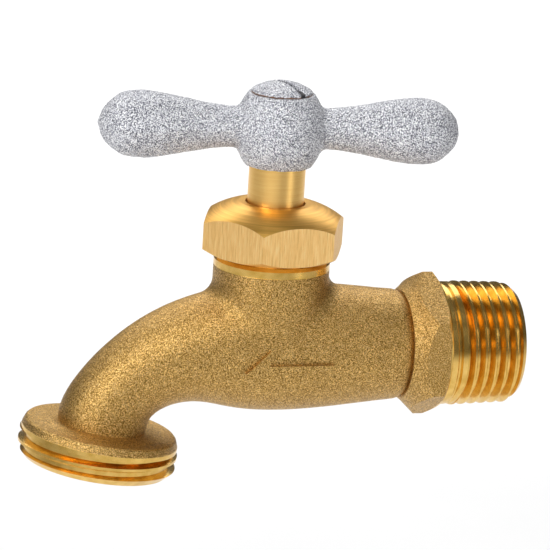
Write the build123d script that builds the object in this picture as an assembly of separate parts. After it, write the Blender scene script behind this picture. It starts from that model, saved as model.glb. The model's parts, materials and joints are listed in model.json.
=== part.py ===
from build123d import *
from math import atan, cos, degrees, floor, radians, sin, sqrt
import os

# A half-inch compression hose bib: a cast brass body with a male pipe thread and a male
# hose thread, a packing nut over a stuffing box, and a rising stem turned by a tee handle.
# Everything is drawn about the stem's axis (Z, with the inlet along +X), in millimetres.
# On export it moves along X, so that the origin is the centre of the inlet's end face.

# ---- driving dimensions -------------------------------------------------------------------
INCH = 25.4
INLET_REACH = 43.4          # stem axis to the inlet's end face

# inlet: half-inch taper pipe thread, 14 per inch, on a wrench hexagon
PIPE_PITCH = INCH / 14
PIPE_CREST_R = 21.34 / 2
PIPE_DEPTH = 1.25
PIPE_TAPER = 1 / 32         # growth of radius per millimetre of length
PIPE_FULL_X = 32.6          # where full threads stop and the run-out starts
INLET_BORE_R = 7.0
HEX_FLATS = 21.9
HEX_X = (23.4, 29.8)
SHANK_R = 10.6

# outlet: three-quarter hose thread, 11.5 per inch, leaning back from vertical
HOSE_PITCH = INCH / 11.5
HOSE_CREST_R = 26.9 / 2
HOSE_DEPTH = 1.15
HOSE_CENTRE = (-28.03, -13.76)   # x and z of the flange's upper rim
HOSE_LEAN = 7.44            # degrees off vertical
HOSE_FLANGE_R = 12.85       # at the upper rim
HOSE_LAND = 1.9             # depth of the flange above the thread
HOSE_LENGTH = 6.3           # upper rim to the outlet's end face
OUTLET_BORE_R = 5.7

# casting
NECK_R = 9.8
NECK_BLEND = 3.0
TURNED_Z = 12.4             # the lathe cut starts here
COLLAR_Z = (14.0, 15.7)
NECK_TOP_Z = 21.0
CHAMBER_R = 7.4             # valve chamber above the seat
CHAMBER_Z = (-2.2, 5.0)
SEAT_Z = -1.0
SEAT_R = (4.0, 5.0)         # orifice and outside of the raised seat
POCKET_Z = (-8.9, -3.7)     # passage under the seat
POCKET_HALF_WIDTH = 5.6
MARK_RISE = 0.65            # height of the cast flow arrow

# packing nut and its thread on the neck
NUT_FLATS = 22.0
NUT_Z = (16.4, 25.0)
NUT_CORNER_Z = (17.35, 21.7)
NUT_TOP_R = 6.1
NUT_BORE_R = 5.07
NUT_TURN = 6.7              # angle of a corner from the inlet's axis
NUT_LID_Z = 22.2            # underside of the nut's top wall
NUT_RELIEF_Z = 20.8         # end of the nut's thread
NECK_THREAD_R = 9.0
NECK_THREAD_Z = 16.6         # start of the neck's thread, above a relief
NECK_THREAD_DEPTH = 0.8
NECK_THREAD_PITCH = 1.5

# stem, its screw thread and the stuffing box
STEM_R = 4.75
LEAD = 2.0                  # rise of the stem in one turn
STEM_THREAD_R = 6.4
STEM_THREAD_DEPTH = 0.85
STEM_Z = (2.75, 42.2)
STEM_THREAD_TOP_Z = 10.5
FEMALE_THREAD_Z = (CHAMBER_Z[1], 11.8)
THREAD_GAP = 0.08
BOX_R = 7.1                 # stuffing box
BOX_Z = 15.3
BOX_STEP_R = 6.75
SQUARE_FLATS = 6.6
SQUARE_Z = 32.8
RUNNING_GAP = 0.05

# valve end
WASHER_R = 5.4
WASHER_Z = (-0.95, 1.25)
JUMPER_Z = 2.65             # top of the disc
JUMPER_R = 5.45             # clears the crests of the thread that the disc rises into
JUMPER_PIN_R = 2.2
JUMPER_PIN_TOP_Z = 9.0
STUD_R = 1.5                # stud that holds the rubber washer
STUD_BOTTOM_Z = -3.6

# handle
HUB_R = 7.6
HUB_Z = (31.4, 43.6)
HANDLE_SPAN = 60.2
HANDLE_AXIS_Z = 37.75
HANDLE_TURN = -7.0          # degrees about the stem from the inlet's axis
LOBE_R = 5.6
WRIST_R = 3.45
SCREW_HEAD_R = 5.15
SCREW_TOP_Z = 45.7
SCREW_R = 2.0
SLOT = (1.1, 1.3)           # width and depth


# ---- helpers ------------------------------------------------------------------------------
def turned(outline):
    """Solid of revolution about the stem axis from points given as (radius, height)."""
    return revolve(Plane.XZ * Polygon(*outline, align=None), axis=Axis.Z)


def tube(r_out, r_in, z_low, z_high):
    return turned([(r_in, z_low), (r_out, z_low), (r_out, z_high), (r_in, z_high)])


def screw(z_low, z_high, crest_r, root_r, pitch, crest_share=0.18, root_share=0.18, taper=0.0, start=0.0):
    """Right-handed threaded rod about Z: a ridge swept round a core, cut off square at both ends.

    The shares are the parts of the pitch that lie on the crest and on the root. Taper is the
    growth of radius with height. The ridge's middle passes over the X axis at the height start.
    """
    foot = 0.15                       # depth of the ridge's foot inside the core
    half_crest = pitch * crest_share / 2
    half_root = pitch * (1 - root_share) / 2
    half_foot = half_root + foot * (half_root - half_crest) / (crest_r - root_r)
    first = start + pitch * (floor((z_low - start) / pitch) - 1)
    last = z_high + 2 * pitch
    drop = taper * (z_low - first)    # the radii are those at z_low
    profile = Polygon((root_r - foot - drop, first - half_foot), (crest_r - drop, first - half_crest),
                      (crest_r - drop, first + half_crest), (root_r - foot - drop, first + half_foot),
                      align=None)
    path = Helix(pitch, last - first, root_r - drop, center=(0, 0, first), cone_angle=degrees(atan(taper)))
    ridge = sweep(Plane.XZ * profile, path=path, is_frenet=True)
    root_low = root_r - drop
    root_high = root_r + taper * (last - z_low)
    core = turned([(0, first), (root_low, first), (root_high, last), (0, last)])
    return (core + ridge) & tube(2 * crest_r, 0, z_low, z_high)


def hexagon(flats, z_low, z_high, corner_angle=0.0):
    profile = RegularPolygon(flats / 2, 6, major_radius=False, rotation=corner_angle)
    return Pos(0, 0, z_low) * extrude(profile, z_high - z_low)


# ---- casting ------------------------------------------------------------------------------
# Stations of the body's centreline: x, z, half-width, half-height, and lean of the section.
BODY_STATIONS = [
    (24.5, 0.0, 9.3, 9.3, 0),
    (18.0, 0.0, 9.6, 9.8, 0),
    (11.5, 0.0, 10.0, 10.45, 0),
    (4.0, 0.0, 10.15, 10.95, 0),
    (-4.0, -0.05, 10.05, 10.6, 0),
    (-9.5, -0.3, 9.5, 9.7, 8),
    (-15.2, -1.3, 8.5, 8.55, 22),
    (-22.2, -4.6, 7.3, 7.3, 42),
    (-26.3, -8.7, 7.15, 7.15, 62),
    (HOSE_CENTRE[0], HOSE_CENTRE[1], 7.3, 7.3, 90 - HOSE_LEAN),
]
# The outlet's waterway follows the same bend inside it.
SPOUT_BORE_STATIONS = [
    (-2.0, 3.6, 4.5, 4.5, 0),
    (-8.5, 2.2, 4.9, 4.9, 8),
    (-15.0, -1.0, 5.3, 5.3, 24),
    (-22.0, -4.7, 5.4, 5.4, 43),
    (-26.2, -8.8, 5.5, 5.5, 62),
    (HOSE_CENTRE[0], HOSE_CENTRE[1], OUTLET_BORE_R, OUTLET_BORE_R, 90 - HOSE_LEAN),
]


def lofted(stations, grow=0.0):
    sections = []
    for x, z, half_width, half_height, lean in stations:
        heading = (-cos(radians(lean)), 0, -sin(radians(lean)))
        place = Plane(origin=(x, 0, z), x_dir=(0, 1, 0), z_dir=heading)
        sections.append(place * Ellipse(half_width + grow, half_height + grow))
    return loft(sections)


def along_inlet(shape):
    """Lay a shape drawn up Z along the inlet, with its height becoming x."""
    return Plane(origin=(0, 0, 0), x_dir=(0, 0, -1), z_dir=(1, 0, 0)) * shape


def back_from_end(shape):
    """Lay a shape drawn up Z along the inlet, with its height running back from the end face."""
    return Plane(origin=(INLET_REACH, 0, 0), x_dir=(0, 0, -1), z_dir=(-1, 0, 0)) * shape


def at_outlet(shape):
    """Hang a shape drawn up Z from the hose flange's rim, with its height running down."""
    lean = radians(HOSE_LEAN)
    place = Plane(origin=(HOSE_CENTRE[0], 0, HOSE_CENTRE[1]), x_dir=(0, 1, 0),
                  z_dir=(-sin(lean), 0, -cos(lean)))
    return place * shape


def end_cone(tip_r, z_low, z_tip):
    """Solid inside a 45 degree chamfer that runs out at the end of a threaded rod."""
    overrun = 0.2
    slope_r = tip_r + z_tip - z_low
    return turned([(0, z_low), (slope_r, z_low), (tip_r - overrun, z_tip + overrun), (0, z_tip + overrun)])


def pipe_thread():
    """Chamfered taper thread and its run-out, with height as distance back from the end face."""
    run_out_z = INLET_REACH - PIPE_FULL_X
    shank_z = INLET_REACH - HEX_X[1] - 0.6
    tip_crest_r = PIPE_CREST_R - PIPE_TAPER * run_out_z
    full = screw(0, run_out_z, tip_crest_r, tip_crest_r - PIPE_DEPTH, PIPE_PITCH, 0.16, 0.2,
                 taper=PIPE_TAPER, start=INLET_REACH)
    chamfer = turned([(0, -0.2), (tip_crest_r - 1.3, -0.2), (tip_crest_r + 8.9, run_out_z + 1),
                      (0, run_out_z + 1)])
    run_out = screw(run_out_z, shank_z, SHANK_R - 0.06, SHANK_R - 0.46, PIPE_PITCH, 0.5, 0.16,
                    start=INLET_REACH)
    return (full & chamfer) + run_out


def inlet_end():
    """Wrench hexagon and threading shank, with height as distance from the stem."""
    low, high = HEX_X
    corner_r = HEX_FLATS / sqrt(3) - 0.05
    faces = hexagon(HEX_FLATS, low, high, 0)
    bevels = turned([(0, low), (9.3, low), (10.2, low + 1.1), (corner_r, 26.9), (corner_r, 28.6),
                     (10.8, high), (0, high)])
    return (faces & bevels) + tube(SHANK_R, 0, high - 1, high + 0.6)


def outlet_end():
    """Hose flange and thread, with height as distance below the flange's rim."""
    land_r = HOSE_CREST_R - 0.2
    flange = turned([(0, -0.5), (8.4, -0.5), (10.5, -0.15), (HOSE_FLANGE_R - 0.3, -0.15), (HOSE_FLANGE_R, 0.15),
                     (land_r, 1.2), (land_r, HOSE_LAND), (0, HOSE_LAND)])
    rod = screw(HOSE_LAND, HOSE_LENGTH, HOSE_CREST_R, HOSE_CREST_R - HOSE_DEPTH, HOSE_PITCH, 0.2, 0.3)
    return flange + (rod & end_cone(HOSE_CREST_R - 1.3, HOSE_LAND - 1, HOSE_LENGTH))


def flow_arrow():
    """Raised arrow on the front of the globe, pointing the way the water runs."""
    outline = Polygon((-6.2, -2.0), (-2.2, 2.0), (-2.2, -0.6), (9.0, -0.6), (9.0, -3.4), (-2.2, -3.4),
                      (-2.2, -6.0), align=None)
    place = Plane(origin=(0, -14, 0), x_dir=(1, 0, 0), z_dir=(0, -1, 0))
    block = extrude(place * outline, amount=8, dir=(0, 1, 0))
    return block & lofted(BODY_STATIONS[1:7], grow=MARK_RISE)


def waterways():
    """Everything hollow in the casting: inlet bore, pocket, seat, chamber, spout and neck."""
    pocket_mid = sum(POCKET_Z) / 2
    pocket_half = (POCKET_Z[1] - POCKET_Z[0]) / 2
    bore = along_inlet(tube(INLET_BORE_R, 0, 20, 50))
    throat = loft([
        Plane(origin=(20, 0, 0), x_dir=(0, 1, 0), z_dir=(-1, 0, 0)) * Circle(INLET_BORE_R),
        Plane(origin=(14, 0, -1.6), x_dir=(0, 1, 0), z_dir=(-1, 0, 0)) * Ellipse(6.6, 5.2),
        Plane(origin=(7, 0, -5.2), x_dir=(0, 1, 0), z_dir=(-1, 0, 0)) * Ellipse(5.8, 3.1),
        Plane(origin=(0, 0, pocket_mid), x_dir=(0, 1, 0), z_dir=(-1, 0, 0))
        * Ellipse(POCKET_HALF_WIDTH, pocket_half),
    ])
    dish = Pos(0, 0, POCKET_Z[0]) * Cylinder(POCKET_HALF_WIDTH, 2 * pocket_half,
                                            align=(Align.CENTER, Align.CENTER, Align.MIN))
    dish = fillet(dish.edges().filter_by(GeomType.CIRCLE).group_by(Axis.Z)[0], 2.2)
    orifice = tube(SEAT_R[0], 0, POCKET_Z[1] - 1, SEAT_Z + 1)
    chamber = turned([(SEAT_R[1], CHAMBER_Z[0]), (CHAMBER_R, CHAMBER_Z[0]), (CHAMBER_R, CHAMBER_Z[1]),
                      (0, CHAMBER_Z[1]), (0, SEAT_Z), (SEAT_R[1], SEAT_Z)])
    spout = lofted(SPOUT_BORE_STATIONS) + at_outlet(tube(OUTLET_BORE_R, 0, -0.5, HOSE_LENGTH + 2))
    spout = spout - turned([(0, CHAMBER_Z[0] - 3), (SEAT_R[1] + 0.6, CHAMBER_Z[0] - 3),
                            (SEAT_R[1] + 0.6, SEAT_Z - 0.01), (0, SEAT_Z - 0.01)])
    female = screw(FEMALE_THREAD_Z[0] - 0.5, FEMALE_THREAD_Z[1] + 0.5, STEM_THREAD_R + THREAD_GAP,
                   STEM_THREAD_R - STEM_THREAD_DEPTH + THREAD_GAP, LEAD, 0.18 + 2 * THREAD_GAP / LEAD,
                   0.18 - THREAD_GAP / LEAD)
    neck_bore = turned([(0, FEMALE_THREAD_Z[1]), (BOX_STEP_R, FEMALE_THREAD_Z[1]), (BOX_STEP_R, BOX_Z),
                        (BOX_R, BOX_Z), (BOX_R, NECK_TOP_Z + 1), (0, NECK_TOP_Z + 1)])
    return [bore, throat, dish, orifice, chamber, spout, female, neck_bore]


def body():
    casting = lofted(BODY_STATIONS)
    neck = Cylinder(NECK_R, COLLAR_Z[0], align=(Align.CENTER, Align.CENTER, Align.MIN))
    joined = casting + neck
    seam = joined.edges().filter_by(lambda e: e.geom_type not in (GeomType.CIRCLE, GeomType.LINE))
    seam = seam.filter_by(lambda e: 3 < e.center().Z < 13 and e.length > 8)
    joined = fillet(seam, NECK_BLEND)
    turning = tube(40, NECK_R, TURNED_Z, 40)
    collar = turned([(0, COLLAR_Z[0] - 0.1), (NECK_R, COLLAR_Z[0] - 0.1), (NECK_R, COLLAR_Z[1] - 0.5),
                     (NECK_R - 0.5, COLLAR_Z[1]), (8.1, COLLAR_Z[1]), (8.1, NECK_THREAD_Z),
                     (0, NECK_THREAD_Z)])
    neck_thread = screw(NECK_THREAD_Z, NECK_TOP_Z, NECK_THREAD_R, NECK_THREAD_R - NECK_THREAD_DEPTH,
                        NECK_THREAD_PITCH)
    solid = joined - turning
    ends = [along_inlet(inlet_end()), back_from_end(pipe_thread()), at_outlet(outlet_end())]
    for piece in (collar, neck_thread, *ends, flow_arrow()):
        solid = solid + piece
    for hollow in waterways():
        solid = solid - hollow
    return solid


# ---- stuffing box -------------------------------------------------------------------------
def packing_nut():
    """Hexagon with a domed, turned top, a lid over the gland and a thread for the neck."""
    corner_r = NUT_FLATS / sqrt(3) + 0.05
    low, high = NUT_Z
    with BuildSketch(Plane.XZ) as half:
        with BuildLine():
            Polyline((NUT_TOP_R, high), (0, high), (0, low), (NUT_FLATS / 2 + 0.1, low),
                     (corner_r, NUT_CORNER_Z[0]), (corner_r, NUT_CORNER_Z[1]))
            ThreePointArc((corner_r, NUT_CORNER_Z[1]), (9.75, 23.75), (NUT_TOP_R, high))
        make_face()
    solid = hexagon(NUT_FLATS, low, high, NUT_TURN) & revolve(half.sketch, axis=Axis.Z)
    relief = tube(NECK_THREAD_R + 0.3, 0, NUT_RELIEF_Z, NUT_LID_Z)
    bore = tube(NUT_BORE_R, 0, NUT_LID_Z - 1, high + 1)
    thread = screw(low - 1, NUT_RELIEF_Z + 0.4, NECK_THREAD_R + THREAD_GAP,
                   NECK_THREAD_R - NECK_THREAD_DEPTH + THREAD_GAP, NECK_THREAD_PITCH,
                   0.18 + 2 * THREAD_GAP / NECK_THREAD_PITCH, 0.18 - THREAD_GAP / NECK_THREAD_PITCH)
    return solid - relief - bore - thread


def gland_ring():
    bore_r = STEM_R + RUNNING_GAP
    return turned([(bore_r, 19.9), (BOX_R - 0.08, 19.9), (BOX_R - 0.08, 21.35), (8.4, 21.35),
                   (8.4, NUT_LID_Z), (bore_r, NUT_LID_Z)])


def packing_rings():
    """Two identical graphite rings, one on the other."""
    rings = []
    for z_low in (16.1, 18.0):
        ring = tube(BOX_R - 0.06, STEM_R + 0.03, z_low, z_low + 1.9)
        rings.append(fillet(ring.edges().filter_by(GeomType.CIRCLE), 0.3))
    return rings


def packing_washer():
    return tube(BOX_R - 0.1, STEM_R + 0.1, BOX_Z, 16.1)


# ---- stem ---------------------------------------------------------------------------------
def stem():
    thread = screw(STEM_Z[0], STEM_THREAD_TOP_Z, STEM_THREAD_R, STEM_THREAD_R - STEM_THREAD_DEPTH, LEAD)
    ends = turned([(0, STEM_Z[0]), (5.4, STEM_Z[0]), (6.5, STEM_Z[0] + 1.1), (6.5, STEM_THREAD_TOP_Z - 0.7),
                   (5.8, STEM_THREAD_TOP_Z), (0, STEM_THREAD_TOP_Z)])
    shaft = turned([(0, STEM_THREAD_TOP_Z), (STEM_R, STEM_THREAD_TOP_Z), (STEM_R, SQUARE_Z - 0.3),
                    (STEM_R - 0.3, SQUARE_Z), (0, SQUARE_Z)])
    square = Pos(0, 0, SQUARE_Z) * extrude(Rectangle(SQUARE_FLATS, SQUARE_FLATS), STEM_Z[1] - SQUARE_Z)
    square = square.rotate(Axis.Z, HANDLE_TURN)
    rounding = turned([(0, SQUARE_Z), (STEM_R - 0.3, SQUARE_Z), (STEM_R - 0.3, STEM_Z[1] - 0.4),
                       (STEM_R - 0.8, STEM_Z[1]), (0, STEM_Z[1])])
    solid = (thread & ends) + shaft + (square & rounding)
    jumper_hole = tube(JUMPER_PIN_R + RUNNING_GAP, 0, STEM_Z[0] - 1, JUMPER_PIN_TOP_Z + 0.4)
    screw_hole = tube(SCREW_R + RUNNING_GAP, 0, 32.4, STEM_Z[1] + 1)
    return solid - jumper_hole - screw_hole


def jumper():
    """Disc that carries the washer: its pin turns freely in the stem, its stud holds the washer."""
    low, high = WASHER_Z
    return turned([(0, STUD_BOTTOM_Z), (STUD_R - 0.3, STUD_BOTTOM_Z), (STUD_R, STUD_BOTTOM_Z + 0.3),
                   (STUD_R, high), (JUMPER_R, high), (JUMPER_R, JUMPER_Z - 0.35), (JUMPER_R - 0.35, JUMPER_Z),
                   (JUMPER_PIN_R, JUMPER_Z), (JUMPER_PIN_R, JUMPER_PIN_TOP_Z - 0.4),
                   (JUMPER_PIN_R - 0.4, JUMPER_PIN_TOP_Z), (0, JUMPER_PIN_TOP_Z)])


def seat_washer():
    low, high = WASHER_Z
    ring = tube(WASHER_R, STUD_R + 0.05, low, high)
    outer = ring.edges().filter_by(GeomType.CIRCLE).sort_by(SortBy.RADIUS)[-2:]
    return fillet(outer, 0.35)


def washer_plate():
    """Thin brass washer between the rubber and its nut."""
    return tube(2.9, STUD_R + 0.05, WASHER_Z[0] - 0.5, WASHER_Z[0])


def washer_nut():
    top = WASHER_Z[0] - 0.5
    low = top - 1.6
    blank = hexagon(5.0, low, top, 0)
    corners = turned([(0, low), (2.5, low), (2.95, low + 0.4), (2.95, top), (0, top)])
    return (blank & corners) - tube(STUD_R + 0.03, 0, low - 1, top + 1)


# ---- handle -------------------------------------------------------------------------------
def handle():
    """Cast tee: a barrel hub between two arms that swell into rounded lobes."""
    low, high = HUB_Z
    with BuildSketch(Plane.XZ) as hub_half:
        with BuildLine():
            Polyline((0, high), (0, low), (5.6, low))
            ThreePointArc((5.6, low), (HUB_R, HANDLE_AXIS_Z - 0.3), (5.6, high))
            Line((5.6, high), (0, high))
        make_face()
    hub = revolve(hub_half.sketch, axis=Axis.Z)

    tip = HANDLE_SPAN / 2
    with BuildSketch() as lobe_half:
        with BuildLine():
            Spline((0, WRIST_R), (8.6, WRIST_R), (13.0, 4.0), (18.5, 5.05), (23.5, LOBE_R), (26.7, 5.0),
                   (29.0, 3.3), (tip, 1.0), tangents=((1, 0), (0.1, -1)))
            Polyline((tip, 1.0), (tip, 0), (0, 0), (0, WRIST_R))
        make_face()
    arm = revolve(lobe_half.sketch, axis=Axis.X)
    arms = arm + arm.rotate(Axis.Z, 180)
    solid = hub + Pos(0, 0, HANDLE_AXIS_Z) * arms
    seams = solid.edges().filter_by(lambda e: e.geom_type == GeomType.BSPLINE and e.length < 30)
    seams = seams.filter_by(lambda e: 5 < abs(e.center().X) < 9)
    solid = fillet(seams, 1.4)

    socket = Pos(0, 0, SQUARE_Z - 1) * extrude(Rectangle(SQUARE_FLATS + 0.2, SQUARE_FLATS + 0.2), 30)
    corners = tube(STEM_R - 0.2, 0, SQUARE_Z - 2, high + 1)
    recess = tube(STEM_R + 0.1, 0, low - 1, SQUARE_Z + 0.1)
    solid = solid - (socket & corners) - recess
    return solid.rotate(Axis.Z, HANDLE_TURN)


def handle_screw():
    seat = HUB_Z[1]
    rise = SCREW_TOP_Z - seat
    with BuildSketch(Plane.XZ) as half:
        with BuildLine():
            Polyline((0, SCREW_TOP_Z), (0, 33.4), (SCREW_R - 0.4, 33.4), (SCREW_R, 33.8), (SCREW_R, seat),
                     (SCREW_HEAD_R, seat), (SCREW_HEAD_R, seat + 0.5))
            ThreePointArc((SCREW_HEAD_R, seat + 0.5), (SCREW_HEAD_R * 0.62, seat + rise * 0.72),
                          (0, SCREW_TOP_Z))
        make_face()
    solid = revolve(half.sketch, axis=Axis.Z)
    width, depth = SLOT
    slot = Pos(0, 0, SCREW_TOP_Z) * Box(20, width, 2 * depth)
    return (solid - slot).rotate(Axis.Z, -62)


# ---- export -------------------------------------------------------------------------------
def write(name, shape):
    """One STEP file for one sub-part, moved to the library frame."""
    solids = shape if isinstance(shape, list) else [shape]
    moved = [Pos(-INLET_REACH, 0, 0) * item for item in solids]
    result = moved[0] if len(moved) == 1 else Compound(children=moved)
    export_step(result, f"parts/{name}.step")


os.makedirs("parts", exist_ok=True)
for sub_part in (body, packing_nut, gland_ring, packing_rings, packing_washer, stem, jumper,
                 seat_washer, washer_plate, washer_nut, handle, handle_screw):
    write(sub_part.__name__, sub_part())
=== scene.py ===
import json
from math import cos, exp, radians, sin

import bpy
import bmesh
from mathutils import Matrix, Vector, noise


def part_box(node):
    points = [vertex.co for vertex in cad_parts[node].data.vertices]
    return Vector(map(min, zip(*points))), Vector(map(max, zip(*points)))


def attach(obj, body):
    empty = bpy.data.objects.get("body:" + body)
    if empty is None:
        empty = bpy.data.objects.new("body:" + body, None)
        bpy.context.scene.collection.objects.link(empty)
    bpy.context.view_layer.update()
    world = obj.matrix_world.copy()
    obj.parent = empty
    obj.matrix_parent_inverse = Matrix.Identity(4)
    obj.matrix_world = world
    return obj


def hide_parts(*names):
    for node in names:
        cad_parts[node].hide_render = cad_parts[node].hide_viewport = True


# Looks for the hose bib: procedural metals and paint on the CAD parts, refined cast skins
# for the handle and its screw, a pale floor, soft lights and a long-lens camera. Metres.

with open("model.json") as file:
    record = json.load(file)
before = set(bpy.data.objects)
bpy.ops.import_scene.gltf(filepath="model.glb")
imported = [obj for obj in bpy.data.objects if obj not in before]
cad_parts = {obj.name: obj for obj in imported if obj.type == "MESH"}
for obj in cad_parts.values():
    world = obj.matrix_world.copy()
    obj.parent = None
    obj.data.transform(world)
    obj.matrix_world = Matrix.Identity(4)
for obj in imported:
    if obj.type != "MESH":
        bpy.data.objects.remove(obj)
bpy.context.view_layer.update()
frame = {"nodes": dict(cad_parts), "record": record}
MM = 0.001

# ---- places worked out from the frame -----------------------------------------------------
stem_low, stem_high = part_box("stem")
handle_low, handle_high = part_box("handle")
screw_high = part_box("handle_screw")[1]
body_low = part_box("body")[0]
mounts = {item["name"]: item for item in frame["record"]["mounts"]}
hose_end = Vector(mounts["hose_thread"]["pos_m"])
hose_axis = Vector(mounts["hose_thread"]["axis"])
STEM_AXIS = Vector(((stem_low.x + stem_high.x) / 2, 0.0, 0.0))

INLET_TURNED_X = -14.1 * MM      # turned metal from the hexagon's outer chamfer to the thread's end
HOSE_TURNED_DEPTH = 5.2 * MM     # turned metal over this length up from the outlet's end face
COLLAR_TURNED_Z = 13.95 * MM     # bottom of the turned collar on the neck
BLEND = 0.1 * MM                 # length over which cast metal gives way to turned metal
PAINT_DEPTH = 0.22 * MM          # relief of the granular paint
SCREW_HEAD = 2.1 * MM            # height of the screw's head above the handle
SLOT_ANGLE = radians(28)         # direction across the screw's slot, from +X
SLOT_ACROSS = Vector((cos(SLOT_ANGLE), sin(SLOT_ANGLE), 0.0))


# ---- node helpers -------------------------------------------------------------------------
class Nodes:
    """Small wrapper that adds shader nodes and links them."""

    def __init__(self, name, **uniform):
        self.material = bpy.data.materials.new(name)
        self.material.use_nodes = True
        self.tree = self.material.node_tree
        self.shader = self.tree.nodes["Principled BSDF"]
        for socket, value in uniform.items():
            self.shader.inputs[socket.replace("_", " ")].default_value = value
        self.coords = self.tree.nodes.new("ShaderNodeTexCoord")

    def link(self, source, target):
        self.tree.links.new(source, target)

    def feed(self, socket, value):
        if isinstance(value, bpy.types.NodeSocket):
            self.link(value, socket)
        else:
            socket.default_value = value

    def scaled(self, factors):
        """Object coordinates stretched by a factor along each axis."""
        mapping = self.tree.nodes.new("ShaderNodeMapping")
        mapping.inputs["Scale"].default_value = factors
        self.link(self.coords.outputs["Object"], mapping.inputs["Vector"])
        return mapping.outputs["Vector"]

    def noise(self, size, detail=2.0, roughness=0.5, vector=None):
        """Noise whose features are about size metres across."""
        node = self.tree.nodes.new("ShaderNodeTexNoise")
        node.inputs["Scale"].default_value = 1.0 / size
        node.inputs["Detail"].default_value = detail
        node.inputs["Roughness"].default_value = roughness
        self.link(vector or self.coords.outputs["Object"], node.inputs["Vector"])
        return node.outputs["Fac"]

    def cells(self, size, output="Distance"):
        """Cells about size metres across: distance to their centres, or a colour for each."""
        node = self.tree.nodes.new("ShaderNodeTexVoronoi")
        node.inputs["Scale"].default_value = 1.0 / size
        self.link(self.coords.outputs["Object"], node.inputs["Vector"])
        return node.outputs[output]

    def math(self, operation, a, b=0.0):
        node = self.tree.nodes.new("ShaderNodeMath")
        node.operation = operation
        self.feed(node.inputs[0], a)
        self.feed(node.inputs[1], b)
        return node.outputs[0]

    def dot(self, vector):
        """Object position measured along a direction."""
        node = self.tree.nodes.new("ShaderNodeVectorMath")
        node.operation = "DOT_PRODUCT"
        self.link(self.coords.outputs["Object"], node.inputs[0])
        node.inputs[1].default_value = vector
        return node.outputs["Value"]

    def component(self, axis, source="Object"):
        node = self.tree.nodes.new("ShaderNodeSeparateXYZ")
        self.link(self.coords.outputs[source], node.inputs[0])
        return node.outputs[axis]

    def step(self, value, low, high):
        """0 below low, 1 above high, straight between."""
        node = self.tree.nodes.new("ShaderNodeMapRange")
        node.inputs["From Min"].default_value = low
        node.inputs["From Max"].default_value = high
        self.feed(node.inputs["Value"], value)
        return node.outputs["Result"]

    def ramp(self, value, stops):
        node = self.tree.nodes.new("ShaderNodeValToRGB")
        elements = node.color_ramp.elements
        while len(elements) < len(stops):
            elements.new(0.5)
        for element, (place, colour) in zip(elements, stops):
            element.position = place
            element.color = (*colour, 1.0)
        self.feed(node.inputs["Fac"], value)
        return node.outputs["Color"]

    def mix(self, factor, a, b):
        """Colour a where the factor is 0 and colour b where it is 1."""
        node = self.tree.nodes.new("ShaderNodeMix")
        node.data_type = "RGBA"
        self.feed(node.inputs[0], factor)
        for index, colour in ((6, a), (7, b)):
            self.feed(node.inputs[index], (*colour, 1.0) if isinstance(colour, tuple) else colour)
        return node.outputs[2]

    def blend_number(self, factor, a, b):
        node = self.tree.nodes.new("ShaderNodeMix")
        node.data_type = "FLOAT"
        self.feed(node.inputs[0], factor)
        self.feed(node.inputs[2], a)
        self.feed(node.inputs[3], b)
        return node.outputs[0]

    def bump(self, height, depth):
        node = self.tree.nodes.new("ShaderNodeBump")
        node.inputs["Distance"].default_value = depth
        self.link(height, node.inputs["Height"])
        return node.outputs["Normal"]

    def finish(self, colour, roughness, normal):
        self.feed(self.shader.inputs["Base Color"], colour)
        self.feed(self.shader.inputs["Roughness"], roughness)
        self.link(normal, self.shader.inputs["Normal"])
        return self.material


# ---- materials ----------------------------------------------------------------------------
def cast_brass():
    """Sand-cast, blasted brass that turns into bright machined brass at threads and collar."""
    n = Nodes("cast_brass", Metallic=1.0)
    inlet = n.step(n.component("X"), INLET_TURNED_X, INLET_TURNED_X + BLEND)
    along = n.math("SUBTRACT", n.dot(hose_axis), hose_end.dot(hose_axis) - HOSE_TURNED_DEPTH)
    hose = n.step(along, 0.0, BLEND)
    collar = n.step(n.component("Z"), COLLAR_TURNED_Z, COLLAR_TURNED_Z + BLEND)
    turned = n.math("MAXIMUM", n.math("MAXIMUM", inlet, hose), collar)

    grain = n.noise(0.15 * MM, detail=1.0, roughness=0.5)
    glint = n.cells(0.24 * MM, "Color")
    glint_level = n.tree.nodes.new("ShaderNodeSeparateColor")
    n.link(glint, glint_level.inputs[0])
    sparkle = n.step(glint_level.outputs[0], 0.72, 1.0)
    patch = n.noise(5.0 * MM, detail=4.0, roughness=0.6)
    sand = n.ramp(grain, [(0.35, (0.135, 0.074, 0.016)), (0.50, (0.390, 0.228, 0.062)),
                          (0.65, (0.930, 0.600, 0.205))])
    sand = n.mix(n.math("MULTIPLY", sparkle, 0.40), sand, (0.95, 0.64, 0.27))
    sand = n.mix(n.math("MULTIPLY", n.step(patch, 0.40, 0.75), 0.15), sand, (0.26, 0.150, 0.042))
    film = n.noise(1.6 * MM, detail=3.0)
    bright = n.ramp(film, [(0.30, (0.68, 0.405, 0.085)), (0.70, (0.86, 0.57, 0.170))])
    colour = n.mix(turned, sand, bright)

    sand_rough = n.blend_number(sparkle, 0.47, 0.32)
    roughness = n.blend_number(turned, sand_rough, 0.22)
    tool_marks = n.noise(0.12 * MM, detail=1.0)
    rough_height = n.math("ADD", grain, n.math("MULTIPLY", patch, 0.6))
    relief = n.blend_number(turned, rough_height, n.math("MULTIPLY", tool_marks, 0.06))
    return n.finish(colour, roughness, n.bump(relief, 0.09 * MM))


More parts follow.
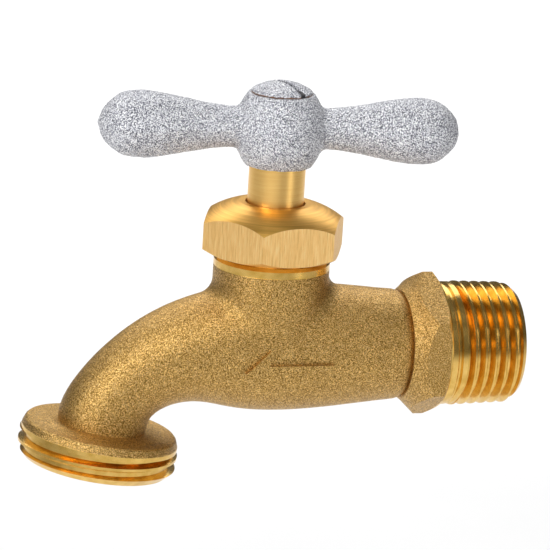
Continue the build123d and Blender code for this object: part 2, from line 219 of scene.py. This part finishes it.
def nut_brass():
    """Vertical milling marks on the hexagon's flats, turned rings on the dome above them, and painted
    shade on the up-facing dome.
    """
    n = Nodes("nut_brass", Metallic=1.0)
    dome = n.step(n.component("Z", "Normal"), 0.25, 0.35)
    milled = n.noise(0.16 * MM, detail=4.0, roughness=0.65, vector=n.scaled((1.0, 1.0, 0.045)))
    wide = n.noise(1.4 * MM, detail=2.0, vector=n.scaled((1.0, 1.0, 0.12)))
    rings = n.noise(0.16 * MM, detail=2.0, vector=n.scaled((0.02, 0.02, 1.0)))
    flats = n.ramp(milled, [(0.36, (0.80, 0.48, 0.160)), (0.50, (0.98, 0.62, 0.235)),
                            (0.64, (1.0, 0.74, 0.34))])
    flats = n.mix(n.math("MULTIPLY", n.step(wide, 0.4, 0.7), 0.25), flats, (0.80, 0.47, 0.15))
    # The dome's darker ramp is partly its turned finish and partly painted shade on the up-facing top
    # of the nut.
    top = n.ramp(rings, [(0.3, (0.62, 0.34, 0.070)), (0.7, (0.84, 0.49, 0.115))])
    colour = n.mix(dome, flats, top)
    roughness = n.blend_number(dome, 0.48, 0.40)
    relief = n.blend_number(dome, milled, n.math("MULTIPLY", rings, 0.35))
    return n.finish(colour, roughness, n.bump(relief, 0.03 * MM))


def stem_brass():
    """Satin turned shaft with fine rings."""
    n = Nodes("stem_brass", Metallic=1.0)
    rings = n.noise(0.12 * MM, detail=3.0, vector=n.scaled((0.02, 0.02, 1.0)))
    film = n.noise(3.0 * MM, detail=2.0)
    colour = n.ramp(rings, [(0.3, (0.92, 0.56, 0.170)), (0.7, (1.0, 0.67, 0.235))])
    colour = n.mix(n.math("MULTIPLY", film, 0.25), colour, (0.72, 0.40, 0.10))
    return n.finish(colour, 0.34, n.bump(rings, 0.006 * MM))


def turned_brass():
    """Small machined parts inside the valve."""
    n = Nodes("turned_brass", Metallic=1.0)
    marks = n.noise(0.15 * MM, detail=2.0, vector=n.scaled((0.05, 0.05, 1.0)))
    colour = n.ramp(marks, [(0.3, (0.66, 0.44, 0.17)), (0.7, (0.86, 0.62, 0.28))])
    return n.finish(colour, 0.30, n.bump(marks, 0.02 * MM))


def graphite():
    n = Nodes("graphite", Metallic=0.2)
    flakes = n.cells(0.5 * MM)
    weave = n.noise(0.7 * MM, detail=3.0, vector=n.scaled((1.0, 1.0, 2.0)))
    colour = n.ramp(weave, [(0.3, (0.020, 0.020, 0.022)), (0.7, (0.075, 0.075, 0.082))])
    return n.finish(colour, 0.55, n.bump(flakes, 0.08 * MM))


def rubber():
    n = Nodes("rubber")
    skin = n.noise(0.3 * MM, detail=4.0)
    colour = n.ramp(skin, [(0.3, (0.012, 0.012, 0.012)), (0.7, (0.032, 0.031, 0.030))])
    return n.finish(colour, 0.72, n.bump(skin, 0.03 * MM))


def silver_grain_and_painted_light(n):
    """Colour, roughness and height of the granular silver paint, with painted shade in its low grains
    and painted highlights on its high ones.
    """
    fine = n.noise(0.18 * MM, detail=1.0, roughness=0.5)
    coarse = n.noise(0.60 * MM, detail=2.0, roughness=0.6)
    drift = n.noise(7.0 * MM, detail=3.0)
    mixed = n.math("ADD", n.math("MULTIPLY", fine, 0.82), n.math("MULTIPLY", coarse, 0.18))
    # Low grains go near black and high grains white: the paint's own grain plus painted shade in the
    # pits and painted highlights on the raised grains.
    colour = n.ramp(mixed, [(0.37, (0.040, 0.042, 0.055)), (0.45, (0.21, 0.215, 0.255)),
                            (0.51, (0.62, 0.625, 0.69)), (0.59, (1.0, 1.0, 1.0))])
    colour = n.mix(n.math("MULTIPLY", n.step(drift, 0.45, 0.75), 0.16), colour, (0.42, 0.43, 0.50))
    return colour, n.blend_number(fine, 0.62, 0.40), mixed


def silver_paint():
    n = Nodes("silver_paint", Metallic=0.25)
    colour, roughness, height = silver_grain_and_painted_light(n)
    return n.finish(colour, roughness, n.bump(height, PAINT_DEPTH))


def painted_screw():
    """The same paint over a steel head, with rust where the rim sheds it and painted shade on the
    slot's floor.
    """
    n = Nodes("painted_screw", Metallic=0.25)
    colour, roughness, height = silver_grain_and_painted_light(n)
    rim_z = screw_high.z - SCREW_HEAD
    worn = n.math("ADD", n.component("Z"), n.math("MULTIPLY", n.noise(0.9 * MM, detail=3.0), 0.55 * MM))
    rust = n.math("SUBTRACT", 1.0, n.step(worn, rim_z + 0.42 * MM, rim_z + 0.62 * MM))
    stain = n.ramp(n.noise(0.4 * MM, detail=3.0),
                   [(0.3, (0.10, 0.045, 0.022)), (0.7, (0.36, 0.17, 0.075))])
    colour = n.mix(rust, colour, stain)
    # The slot's floor is coloured near black: painted shade in the recess.
    across = n.math("ABSOLUTE", n.math("SUBTRACT", n.dot(SLOT_ACROSS), STEM_AXIS.dot(SLOT_ACROSS)))
    slot_floor_painted_shade = n.math("SUBTRACT", 1.0, n.step(across, 0.46 * MM, 0.56 * MM))
    colour = n.mix(slot_floor_painted_shade, colour, (0.030, 0.026, 0.030))
    return n.finish(colour, roughness, n.bump(height, PAINT_DEPTH))


def floor_white():
    n = Nodes("floor_white")
    mottle = n.noise(60 * MM, detail=2.0)
    colour = n.ramp(mottle, [(0.3, (0.93, 0.93, 0.93)), (0.7, (0.95, 0.95, 0.95))])
    return n.finish(colour, 0.85, n.bump(mottle, 0.01 * MM))


MATERIALS = {
    "cast_brass": cast_brass(),
    "nut_brass": nut_brass(),
    "stem_brass": stem_brass(),
    "turned_brass": turned_brass(),
    "graphite": graphite(),
    "rubber": rubber(),
    "silver_paint": silver_paint(),
    "painted_screw": painted_screw(),
}


def dress(piece, slot):
    piece.data.materials.clear()
    piece.data.materials.append(MATERIALS[slot])


for part in frame["record"]["subparts"]:
    dress(frame["nodes"][part["node"]], part["material_slot"])


# ---- refined castings ---------------------------------------------------------------------
ARM_DEPTH = 5.85 * MM            # from the top of the handle down to its arms' centreline
TIP_OFFSET = 3.67 * MM           # the left tip lies this far behind the handle's middle
HANDLE_AXIS_Z = handle_high.z - ARM_DEPTH
HANDLE_MIDDLE_Y = (handle_high.y + handle_low.y) / 2
LEFT_TIP = Vector((handle_low.x, HANDLE_MIDDLE_Y + TIP_OFFSET, HANDLE_AXIS_Z))


def lumps(point, size, depth):
    return depth * noise.noise(point / size)


def handle_relief(point):
    """Rough sand-cast skin, a faint flash along the mould's parting plane and a gate stub."""
    relief = lumps(point, 2.6 * MM, 0.10 * MM) + lumps(point, 0.8 * MM, 0.07 * MM)
    off_plane = (point.z - HANDLE_AXIS_Z - lumps(point, 6 * MM, 0.4 * MM)) / (0.45 * MM)
    relief += 0.13 * MM * exp(-off_plane * off_plane)
    from_tip = (point - LEFT_TIP).length / (1.1 * MM)
    return relief + 0.35 * MM * exp(-from_tip * from_tip)


def screw_relief(point):
    return lumps(point, 1.9 * MM, 0.16 * MM) + lumps(point, 0.6 * MM, 0.06 * MM)


FADE_WIDTH = 1.0 * MM            # the relief grows to its full height over this width


def cast_skin(node, slot, voxel, relief, smooth_radius):
    """Fine remeshed copy of a CAD piece, roughened by a relief outside the smooth radius."""
    source = frame["nodes"][node]
    piece = bpy.data.objects.new(node + "_cast", source.data.copy())
    bpy.context.scene.collection.objects.link(piece)
    piece.matrix_world = source.matrix_world.copy()
    remesh = piece.modifiers.new("remesh", "REMESH")
    remesh.mode = "VOXEL"
    remesh.voxel_size = voxel
    depsgraph = bpy.context.evaluated_depsgraph_get()
    piece.data = bpy.data.meshes.new_from_object(piece.evaluated_get(depsgraph))
    piece.modifiers.clear()
    shape = bmesh.new()
    shape.from_mesh(piece.data)
    shape.normal_update()
    moves = []
    for vertex in shape.verts:
        from_axis = (vertex.co - STEM_AXIS).to_2d().length
        fade = min(1.0, max(0.0, (from_axis - smooth_radius) / FADE_WIDTH))
        moves.append(vertex.normal * relief(vertex.co) * fade)
    for vertex, move in zip(shape.verts, moves):
        vertex.co += move
    shape.to_mesh(piece.data)
    shape.free()
    for face in piece.data.polygons:
        face.use_smooth = True
    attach(piece, "stem")
    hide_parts(node)
    dress(piece, slot)


cast_skin("handle", "silver_paint", 0.30 * MM, handle_relief, 4.9 * MM)
cast_skin("handle_screw", "painted_screw", 0.16 * MM, screw_relief, 2.2 * MM)


# ---- floor, lights and camera -------------------------------------------------------------
def aimed(location, target):
    """Rotation that points an object's -Z from a place to a target, with its Y up."""
    return (Vector(target) - Vector(location)).to_track_quat("-Z", "Y").to_euler()


CENTRE = (body_low + handle_high) / 2
FLOOR_GAP = 120 * MM             # the tap floats this far above the floor
FLOOR_SIZE = 4.0


def floor():
    mesh = bpy.data.meshes.new("floor")
    shape = bmesh.new()
    bmesh.ops.create_grid(shape, x_segments=24, y_segments=24, size=FLOOR_SIZE)
    shape.to_mesh(mesh)
    shape.free()
    piece = bpy.data.objects.new("floor", mesh)
    piece.location = (CENTRE.x, CENTRE.y, body_low.z - FLOOR_GAP)
    bpy.context.scene.collection.objects.link(piece)
    mesh.materials.append(floor_white())


def softbox(name, azimuth, elevation, distance, width, height, power, target=CENTRE):
    """Area light seen from its target at an azimuth (0 is towards -Y) and an elevation."""
    az, el = radians(azimuth), radians(elevation)
    away = Vector((sin(az) * cos(el), -cos(az) * cos(el), sin(el)))
    data = bpy.data.lights.new(name, "AREA")
    data.shape = "RECTANGLE"
    data.size = width
    data.size_y = height
    data.energy = power
    lamp = bpy.data.objects.new(name, data)
    lamp.location = target + away * distance
    lamp.rotation_euler = aimed(lamp.location, target)
    bpy.context.scene.collection.objects.link(lamp)


def lights():
    behind = CENTRE + Vector((0.30, 1.00, -FLOOR_GAP))
    softbox("key_left", -60, 30, 0.60, 0.22, 0.42, 1.85)
    softbox("key_right", 42, 12, 0.60, 0.12, 0.45, 0.62)
    softbox("front", -26, 8, 0.70, 0.55, 0.14, 0.80)
    softbox("top", -15, 62, 0.60, 0.40, 0.30, 1.25)
    softbox("floor_fill", 0, 88, 0.90, 2.00, 1.20, 18.5, target=behind)
    world = bpy.data.worlds.new("studio")
    world.use_nodes = True
    background = world.node_tree.nodes["Background"]
    background.inputs["Color"].default_value = (1.0, 1.0, 1.0, 1.0)
    background.inputs["Strength"].default_value = 0.12
    bpy.context.scene.world = world


CAMERA_AZIMUTH = -16.49          # degrees from -Y towards +X
CAMERA_ELEVATION = 14.45
CAMERA_ROLL = 3.575
CAMERA_DISTANCE = 0.6002
CAMERA_AIM = (1.448 * MM, 11.907 * MM)   # right of and above the stem's foot, across the view
CAMERA_LENS = 232.3              # millimetres, on a sensor of the next width
CAMERA_SENSOR = 36.0


def camera():
    az, el, roll = radians(CAMERA_AZIMUTH), radians(CAMERA_ELEVATION), radians(CAMERA_ROLL)
    back = Vector((sin(az) * cos(el), -cos(az) * cos(el), sin(el)))
    level = Vector((cos(az), sin(az), 0.0))
    upright = back.cross(level)
    right = cos(roll) * level + sin(roll) * upright
    up = cos(roll) * upright - sin(roll) * level
    place = STEM_AXIS + CAMERA_DISTANCE * back + CAMERA_AIM[0] * right + CAMERA_AIM[1] * up
    data = bpy.data.cameras.new("camera")
    data.lens = CAMERA_LENS
    data.sensor_width = CAMERA_SENSOR
    data.clip_start = 0.01
    eye = bpy.data.objects.new("camera", data)
    turn = Matrix((right, up, back)).transposed().to_4x4()
    eye.matrix_world = Matrix.Translation(place) @ turn
    bpy.context.scene.collection.objects.link(eye)
    bpy.context.scene.camera = eye


floor()
lights()
camera()
bpy.context.scene.view_settings.view_transform = "Standard"
